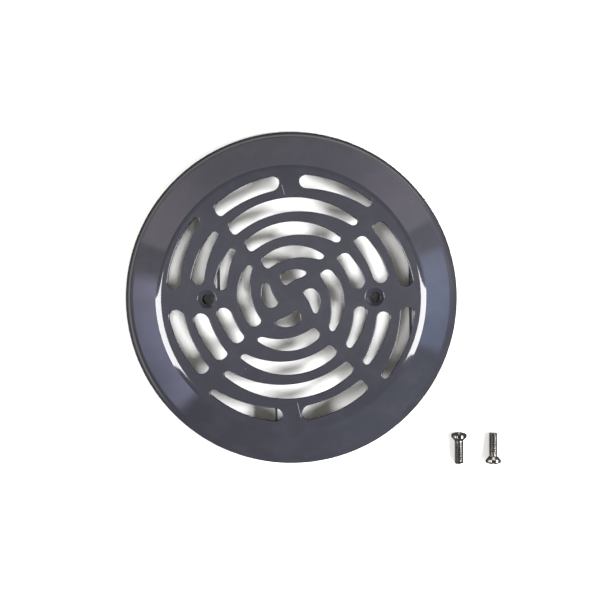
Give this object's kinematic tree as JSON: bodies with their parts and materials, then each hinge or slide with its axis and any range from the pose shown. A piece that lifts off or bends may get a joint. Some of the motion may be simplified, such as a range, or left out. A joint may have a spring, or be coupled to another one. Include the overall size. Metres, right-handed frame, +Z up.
{
  "type": "floor drain grate",
  "caption": "Round slotted drain cover with a raised flat plate, sloping flange and rolled rim, with loose countersunk fixing screws beside it.",
  "frame": {"origin": "centre of the plate's flat top face, on the cover's axis", "axes": "+Z up, out of the top face along the cover's axis; the two screw holes lie on the X axis; the screws lie loose towards +X -Y"},
  "size_m": [0.229, 0.2053, 0.018],
  "materials": {
    "cover_plastic": "smooth glossy dark grey moulding",
    "stainless_steel": "bright polished stainless steel"
  },
  "bodies": {
    "cover": {"grate_cover": "cover_plastic"},
    "first_screw": {"screw_1": "stainless_steel"},
    "second_screw": {"screw_2": "stainless_steel"}
  },
  "joints": [
    {"name": "lift_screw_1", "type": "slide", "parent": "cover", "child": "first_screw", "axis": [0, 0, 1], "range_m": [0, 0.05]},
    {"name": "lift_screw_2", "type": "slide", "parent": "cover", "child": "second_screw", "axis": [0, 0, 1], "range_m": [0, 0.05]}
  ]
}
